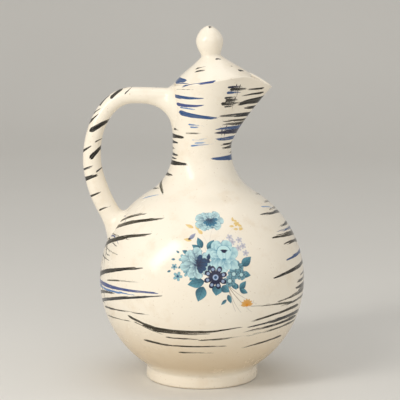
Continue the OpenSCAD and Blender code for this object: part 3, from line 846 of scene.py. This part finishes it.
def bouquet():
    """Paints the spray, from the stems behind to the flowers in front."""
    f = Film()
    for x, y, r in ((-2, 4, 26), (18, 14, 14), (0, 32, 12), (10, -14, 16)):
        f.glow(x, y, r, WHITE, 0.30)
    for tip, bend in (((24, -41), (16, -33)), ((31, -38), (20, -30)), ((38, -34), (26, -30)),
                      ((19, -40), (15, -32)), ((34, -41), (24, -35))):
        f.line([(10, -14), (13, -22), bend, tip], 0.40, STEM, 0.9)
    for k in range(7):
        a = math.radians(12 + 28 * k)
        f.leaf(29, -35, a, 6.0, 1.5, AMBER, GOLD, 0.95)
    f.dot(29, -35, 1.4, AMBER)
    for points in ([(-3, 12), (-4, 20), (-9, 28), (-18, 33)], [(-3, 12), (-1, 20), (0, 26), (2, 30)],
                   [(-5, 10), (-8, 18), (-14, 20), (-21, 18)]):
        f.line(points, 0.26, STEM, 0.5)
    for x, y, a, long in ((-14, 30, 2.6, 8), (-10, 28, 2.0, 6), (-16, 19, 2.9, 7), (-7, 24, 2.3, 6)):
        f.leaf(x, y, a, long, 1.6, GOLD, paint("F2DC9C"), 0.95)
    for k in range(11):
        a, r = f.rng.uniform(0, 6.28), f.rng.uniform(0, 8)
        f.leaf(22 + r * math.cos(a), 33 + 0.8 * r * math.sin(a), f.rng.uniform(0, 6.28), 4.5, 1.2,
               GOLD, paint("F2DC9C"), 0.95)
    f.line([(9, 18), (14, 24), (18, 28), (24, 36)], 0.22, GOLD, 0.7)
    f.leaf(-18, 20, 0.75, 7.5, 1.7, paint("6F7C96"), LAVENDER)
    f.dot(-18, 20.4, 1.1, NAVY, 0.8)
    for x, y in ((10, 16), (17, 17), (23, 19), (22, 12), (26, 14), (15, 21), (28, 8)):
        small_flower(f, x, y, 2.9, paint("8C8DA6"), LAVENDER, 0.8)
    for x, y, a, long, width in (
            (-7, -15, 3.3, 14, 4.2), (-8, -19, 4.35, 13, 4.6), (4, -18, 4.5, 9, 4.4),
            (7, -19, 5.6, 8, 3.4), (24, -3, 0.75, 12, 3.6), (24, -9, 6.1, 8, 2.8),
            (22, -22, 0.9, 9, 2.6), (22, -22, 5.9, 8, 2.2), (21, -21, 2.4, 6, 2.0),
            (12, -26, 5.1, 8, 2.0), (11, -30, 3.9, 6.5, 1.4), (-8, 12, 1.9, 10, 2.6),
            (-4, 11, 0.9, 10, 2.6), (-9, 10, 2.5, 9, 2.4), (1, 10, 1.4, 7, 2.2),
            (-14, -9, 3.9, 7, 2.4), (-19, 8, 2.6, 6, 1.8), (16, -16, 5.2, 7, 2.4)):
        f.leaf(x, y, a, long, width)
    for x, y, r in ((-23, 4, 4.2), (-28.5, -10, 4.0), (-20.5, -7.5, 3.6), (-31, -2, 2.7)):
        small_flower(f, x, y, r, DEEP, paint("8DBCC6"))
    for x, y, a in ((-26.5, 9, 2.4), (-30, 4, 3.0), (-25, -2, 3.6), (-34, -5, 3.4)):
        f.leaf(x, y, a, 3.6, 1.0)
    ruffled_flower(f, -1, 36, 13.5, 0.62, DEEP, MIST)
    for a in (-2.6, -2.1, -1.6, -1.1, -0.6, 0.1):
        f.petal(0, 37, a, 6.5, 1.9, NAVY, TEAL, DEEP, 0.1, 0.2)
    ruffled_flower(f, -13, 0, 13.0, 1.0, DEEP, MIST)
    for a in (0.5, 1.2, 5.1, 5.6, 6.2):
        f.petal(-12, -1, a, 8.0, 2.8, NAVY, DEEP, NAVY, 0.1, 0.2)
    f.petal(-13, -1, 2.4, 6.5, 2.6, DEEP, MIST, NAVY, 0.1, 0.2)
    for x, y, r in ((20, -4, 5.6), (23.5, -10, 4.8), (17, -9.5, 5.0), (13.5, -15, 5.0)):
        ruffled_flower(f, x, y, r, 1.0, NAVY, paint("7FB4C2"), 2)
        f.dot(x, y, r * 0.3, MIST, 0.9)
    rose(f, 8.5, 5, 14.0, TEAL, MIST, NAVY, 0.25)
    for x, y, a in ((-3.5, 2, 1.4), (-2, -2, 4.4), (-2, 0, 2.6)):
        f.leaf(x, y, a, 5.5, 1.5, NAVY, DEEP)
    daisy(f, 2, -12, 9.6, 8, NAVY, paint("9FB4D4"), DEEP)
    return f


def film_object():
    """The film as a mesh that hugs the belly, cut to what is printed."""
    f = bouquet()
    up = (FILM_Z - BELLY_Z) / BELLY_R
    level = math.sqrt(1 - up * up)
    out = np.array([level * math.sin(FILM_TURN), -level * math.cos(FILM_TURN), up])
    right = np.array([math.cos(FILM_TURN), math.sin(FILM_TURN), 0.0])
    above = np.cross(out, right) * -1.0
    above = above if above[2] > 0 else -above
    reach = np.hypot(f.x, f.y)
    turn = reach / BELLY_R
    side = np.sinc(turn / math.pi) / BELLY_R
    p = (np.cos(turn)[..., None] * out + (side * f.x)[..., None] * right
         + (side * f.y)[..., None] * above) * (BELLY_R - SKIN + FILM_PROUD)
    p[..., 2] += BELLY_Z
    rows, columns = f.x.shape
    index = np.arange(rows * columns).reshape(rows, columns)
    quads = np.stack([index[:-1, :-1], index[:-1, 1:], index[1:, 1:], index[1:, :-1]], -1)
    quads = quads.reshape(-1, 4)
    printed = f.cover.ravel()[quads].max(1) > 0.004
    quads = quads[printed]
    used, renumbered = np.unique(quads, return_inverse=True)
    mesh = bpy.data.meshes.new("bouquet_film")
    mesh.vertices.add(len(used))
    mesh.vertices.foreach_set("co", (p.reshape(-1, 3)[used] * MM).ravel())
    mesh.loops.add(quads.size)
    mesh.loops.foreach_set("vertex_index", renumbered.ravel())
    mesh.polygons.add(len(quads))
    mesh.polygons.foreach_set("loop_start", 4 * np.arange(len(quads)))
    mesh.update(calc_edges=True)
    mesh.shade_smooth()
    rgba = np.concatenate([f.colour, f.cover[..., None]], -1).reshape(-1, 4)[used]
    mesh.attributes.new("print", "FLOAT_COLOR", "POINT").data.foreach_set(
        "color", rgba.astype(np.float32).ravel())
    piece = bpy.data.objects.new("bouquet_film", mesh)
    bpy.context.scene.collection.objects.link(piece)
    return piece


# ---- Materials -----------------------------------------------------------------------------------

class Nodes:
    """A short way to write a material's node tree."""

    def __init__(self, name):
        self.material = bpy.data.materials.new(name)
        self.material.use_nodes = True
        self.tree = self.material.node_tree
        self.shader = self.tree.nodes["Principled BSDF"]
        coordinates = self.tree.nodes.new("ShaderNodeTexCoord")
        self.place = coordinates.outputs["Object"]

    def plug(self, socket, value):
        if isinstance(value, bpy.types.NodeSocket):
            self.tree.links.new(value, socket)
        elif isinstance(value, tuple) and len(value) == 3 and socket.type == "RGBA":
            socket.default_value = (*value, 1.0)
        else:
            socket.default_value = value

    def attribute(self, name):
        node = self.tree.nodes.new("ShaderNodeAttribute")
        node.attribute_name = name
        return node.outputs

    def noise(self, scale, detail=2.0, rough=0.5, where=None, distortion=0.0):
        node = self.tree.nodes.new("ShaderNodeTexNoise")
        self.plug(node.inputs["Vector"], where or self.place)
        node.inputs["Scale"].default_value = scale
        node.inputs["Detail"].default_value = detail
        node.inputs["Roughness"].default_value = rough
        node.inputs["Distortion"].default_value = distortion
        return node.outputs["Fac"]

    def math(self, operation, a, b=0.0, c=0.0, clamp=False):
        node = self.tree.nodes.new("ShaderNodeMath")
        node.operation = operation
        node.use_clamp = clamp
        for socket, value in zip(node.inputs, (a, b, c)):
            self.plug(socket, value)
        return node.outputs[0]

    def ramp(self, value, low, high, to_low=0.0, to_high=1.0):
        node = self.tree.nodes.new("ShaderNodeMapRange")
        node.interpolation_type = "SMOOTHSTEP"
        for socket, v in zip(node.inputs, (value, low, high, to_low, to_high)):
            self.plug(socket, v)
        return node.outputs[0]

    def mix(self, share, a, b):
        node = self.tree.nodes.new("ShaderNodeMix")
        node.data_type = "RGBA"
        self.plug(node.inputs[0], share)
        self.plug(node.inputs[6], a)
        self.plug(node.inputs[7], b)
        return node.outputs[2]

    def vector(self, operation, a, b):
        node = self.tree.nodes.new("ShaderNodeVectorMath")
        node.operation = operation
        self.plug(node.inputs[0], a)
        self.plug(node.inputs[1], b)
        return node.outputs[0]

    def split(self, value):
        node = self.tree.nodes.new("ShaderNodeSeparateXYZ")
        self.plug(node.inputs[0], value)
        return node.outputs

    def bump(self, height, strength, distance, under=None):
        node = self.tree.nodes.new("ShaderNodeBump")
        node.inputs["Strength"].default_value = strength
        node.inputs["Distance"].default_value = distance
        self.plug(node.inputs["Height"], height)
        if under is not None:
            self.plug(node.inputs["Normal"], under)
        return node.outputs[0]


IVORY, CREAM, TAN = paint("F5EAD7"), paint("FAF3E4"), paint("D9C19C")
CLAY, CLAY_DARK = paint("D8C3A0"), paint("B4966F")


def glaze(name, decoration):
    """Warm ivory glaze, glossy, with painted shade making it darker low down, bare clay where it
    stands.
    """
    n = Nodes(name)
    height = n.split(n.place)[2]
    colour = n.mix(n.noise(14, 3), IVORY, CREAM)
    colour = n.mix(n.math("MULTIPLY", n.ramp(n.noise(70, 4, 0.6), 0.5, 0.75), 0.22), colour, TAN)
    # painted shade: the belly is tinted tan towards the bottom, standing in for shade and the warm
    # reflection from below; the foot gets less of it, as if it catches the light
    painted_shade_strength = n.ramp(height, 0.010, 0.020, 0.12, 0.80)
    low = n.math("MULTIPLY", n.ramp(height, 0.075, 0.015), painted_shade_strength)
    colour = n.mix(low, colour, TAN)
    specks = n.ramp(n.noise(620, 1, 0.4), 0.72, 0.78)
    colour = n.mix(n.math("MULTIPLY", specks, 0.35), colour, CLAY_DARK)
    colour, roughness = decoration(n, colour)
    bare = n.ramp(n.math("ADD", height, n.math("MULTIPLY", n.noise(300), 0.0008)), 0.0011, 0.0007)
    colour = n.mix(bare, colour, CLAY)
    n.plug(n.shader.inputs["Base Color"], colour)
    smear = n.ramp(n.noise(26, 4, 0.6), 0.35, 0.75, 0.18, 0.30)
    roughness = n.math("ADD", n.math("ADD", smear, roughness), n.math("MULTIPLY", bare, 0.5))
    n.plug(n.shader.inputs["Roughness"], roughness)
    peel = n.bump(n.noise(210, 2, 0.5), 0.10, 0.0004)
    wheel = n.bump(n.noise(1, 2, 0.5, n.vector("MULTIPLY", n.place, (6.0, 6.0, 120.0))),
                   0.06, 0.0012, peel)
    n.plug(n.shader.inputs["Normal"], wheel)
    n.shader.inputs["IOR"].default_value = 1.37
    n.shader.inputs["Coat Weight"].default_value = 0.14
    n.shader.inputs["Coat Roughness"].default_value = 0.12
    return n.material


def brushed(n, colour):
    """Lays the brush strokes into the glaze, ragged along their bristles."""
    depth = n.attribute("ink_depth")["Fac"]
    along = n.attribute("ink_along")["Vector"]
    ink = n.attribute("ink_colour")
    dryness = ink["Alpha"]
    bristles = n.noise(1, 2, 0.6, n.vector("MULTIPLY", along, (0.05, 1.25, 1.0)))
    clumps = n.noise(1, 1, 0.5, n.vector("MULTIPLY", along, (0.07, 0.35, 1.0)))
    reach = n.math("MULTIPLY_ADD", dryness, 2.4, 0.6)
    ragged = n.math("MULTIPLY", n.math("SUBTRACT", bristles, 0.5), reach)
    ragged = n.math("ADD", ragged, n.math("MULTIPLY", n.math("SUBTRACT", clumps, 0.5), 0.8))
    cover = n.ramp(n.math("ADD", depth, ragged), FAR - 0.12, FAR + 0.12)
    streak = n.noise(1, 3, 0.6, n.vector("MULTIPLY", along, (0.035, 2.2, 1.0)))
    gaps = n.ramp(n.math("MULTIPLY_ADD", dryness, 0.30, streak), 0.85, 0.79)
    cover = n.math("MULTIPLY", cover, n.ramp(gaps, 0.0, 1.0, 0.08, 1.0))
    load = n.ramp(n.noise(1, 2, 0.5, n.vector("MULTIPLY", along, (0.09, 0.9, 1.0))), 0.3, 0.7,
                  0.93, 1.0)
    return n.mix(n.math("MULTIPLY", cover, load), colour, ink["Color"]), 0.0


def printed(n, colour):
    """The bouquet's print, with the fine grain of transfer printing."""
    attribute = n.attribute("print")
    grain = n.ramp(n.noise(2600, 1, 0.5), 0.3, 0.7, 0.97, 1.0)
    cover = n.math("MULTIPLY", attribute["Alpha"], grain)
    return n.mix(cover, colour, attribute["Color"]), 0.0


def bare_clay():
    """Unglazed fired clay: pale, dry and faintly gritty, with turning marks."""
    n = Nodes("bare_clay")
    colour = n.mix(n.noise(60, 4), CLAY, paint("E6D6B8"))
    colour = n.mix(n.math("MULTIPLY", n.ramp(n.noise(900, 2, 0.6), 0.55, 0.75), 0.5), colour,
                   CLAY_DARK)
    n.plug(n.shader.inputs["Base Color"], colour)
    n.plug(n.shader.inputs["Roughness"], n.ramp(n.noise(240, 3), 0.3, 0.7, 0.72, 0.9))
    grit = n.bump(n.noise(1500, 3, 0.6), 0.25, 0.0002)
    turning = n.bump(n.noise(1, 1, 0.5, n.vector("MULTIPLY", n.place, (10.0, 10.0, 900.0))),
                     0.2, 0.0004, grit)
    n.plug(n.shader.inputs["Normal"], turning)
    return n.material


def floor_material():
    n = Nodes("pale_floor")
    n.plug(n.shader.inputs["Base Color"], n.mix(n.noise(3, 2), paint("DDDBD6"), paint("E2E0DB")))
    n.shader.inputs["Roughness"].default_value = 0.75
    return n.material


# ---- The pieces ------------------------------------------------------------------------------

def pitcher_body(material):
    grid = body_grid(COLUMNS)
    piece = grid_mesh("pitcher_body", grid, close_columns=True, cap_first=True, cap_last=True)
    rows = np.repeat(np.arange(len(grid)), COLUMNS)
    lip = int(np.argmax(grid[:, COLUMNS // 2, 2]))
    paint_body(piece, rows <= lip + 2)
    piece.data.materials.append(material)
    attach(piece, "pitcher")
    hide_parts("belly", "foot_ring", "neck", "mouth", "spout")
    return piece


def handle(material):
    piece = grid_mesh("handle_loop", handle_grid(420, 96)[:, ::-1], close_columns=True,
                      cap_first=True, cap_last=True)
    paint_handle(piece)
    piece.data.materials.append(material)
    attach(piece, "pitcher")
    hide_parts("handle")
    return piece


def lid(material):
    columns = 360
    outside, hollow = lid_profile()
    profile = np.vstack([hollow, outside])
    piece = grid_mesh("lid_cover", revolve(profile, columns, in_mouth), close_columns=True,
                      cap_first=True, cap_last=True)
    angle = np.degrees(np.linspace(0, 2 * np.pi, columns, endpoint=False)) + 90
    turn = np.tile(angle, len(profile))
    radius, height = np.repeat(profile[:, 0], columns), np.repeat(profile[:, 1], columns)
    outer = np.repeat(np.arange(len(profile)) >= len(hollow), columns)
    paint_lid(piece, turn, radius, np.where(outer, height, OUT_OF_REACH))
    piece.data.materials.append(material)
    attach(piece, "lid")
    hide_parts("lid", "lid_knob")
    return piece


def film(material):
    piece = film_object()
    piece.data.materials.append(material)
    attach(piece, "pitcher")
    return piece


def dress_flange(material):
    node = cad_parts["lid_flange"]
    node.data.materials.clear()
    node.data.materials.append(material)


# ---- The studio ------------------------------------------------------------------------------

def cyclorama(material):
    """A floor that curves up into a backdrop."""
    back, radius, top, half = 2.2, 0.8, 3.2, 5.0
    line = [(-4.0, 0.0), (back - radius, 0.0)]
    line += [(back - radius + radius * math.sin(a), radius - radius * math.cos(a))
             for a in np.linspace(0, math.pi / 2, 14)[1:]] + [(back, top)]
    points = np.array([[(x, y, z) for x in (-half, half)] for y, z in line]) / MM
    piece = grid_mesh("cyclorama", points)
    piece.data.materials.append(material)


def softbox(name, place, aim, size, power, along=None, colour=(1, 1, 1)):
    """A rectangular softbox at place, facing aim, its long side along a given direction."""
    light = bpy.data.lights.new(name, "AREA")
    light.shape = "RECTANGLE"
    light.size, light.size_y = size
    light.energy = power
    light.color = colour
    lamp = bpy.data.objects.new(name, light)
    back = (Vector(place) - Vector(aim)).normalized()
    side = Vector(along or (1, 0, 0))
    side = (side - back * side.dot(back)).normalized()
    up = back.cross(side)
    turn = Matrix((side, up, back)).transposed().to_4x4()
    lamp.matrix_world = Matrix.Translation(place) @ turn
    bpy.context.scene.collection.objects.link(lamp)


def studio():
    middle = (0.0, 0.0, 0.12)
    softbox("key", (-0.755, -0.685, 0.72), middle, (0.80, 0.27), 6.6, along=(0.54, -0.09, 0.55),
            colour=(1.0, 0.97, 0.92))
    softbox("fill", (0.5, -2.6, 1.3), middle, (2.4, 1.6), 12.0, colour=(1.0, 0.98, 0.95))
    softbox("top", (0.2, 0.1, 2.2), middle, (1.6, 1.6), 9.0)
    softbox("side", (2.0, -0.4, 0.8), middle, (1.2, 1.4), 3.0, along=(0, 1, 0))
    world = bpy.data.worlds.new("studio")
    world.use_nodes = True
    background = world.node_tree.nodes["Background"]
    background.inputs["Color"].default_value = (1.0, 0.98, 0.95, 1.0)
    background.inputs["Strength"].default_value = 0.46
    bpy.context.scene.world = world
    bpy.context.scene.view_settings.view_transform = "Standard"


def camera():
    data = bpy.data.cameras.new("camera")
    data.lens = 162.0
    data.sensor_width = 36.0
    data.clip_start, data.clip_end = 0.05, 50.0
    seen_from = bpy.data.objects.new("camera", data)
    seen_from.location = (-0.00165, -1.488, 0.3988)
    seen_from.rotation_euler = (math.radians(90 - 9.45), 0.0, 0.0)
    bpy.context.scene.collection.objects.link(seen_from)
    bpy.context.scene.camera = seen_from


# ---- Building it all -----------------------------------------------------------------------------

painted_glaze = glaze("painted_glaze", brushed)
pitcher_body(painted_glaze)
handle(painted_glaze)
lid(painted_glaze)
film(glaze("printed_glaze", printed))
dress_flange(bare_clay())
cyclorama(floor_material())
studio()
camera()
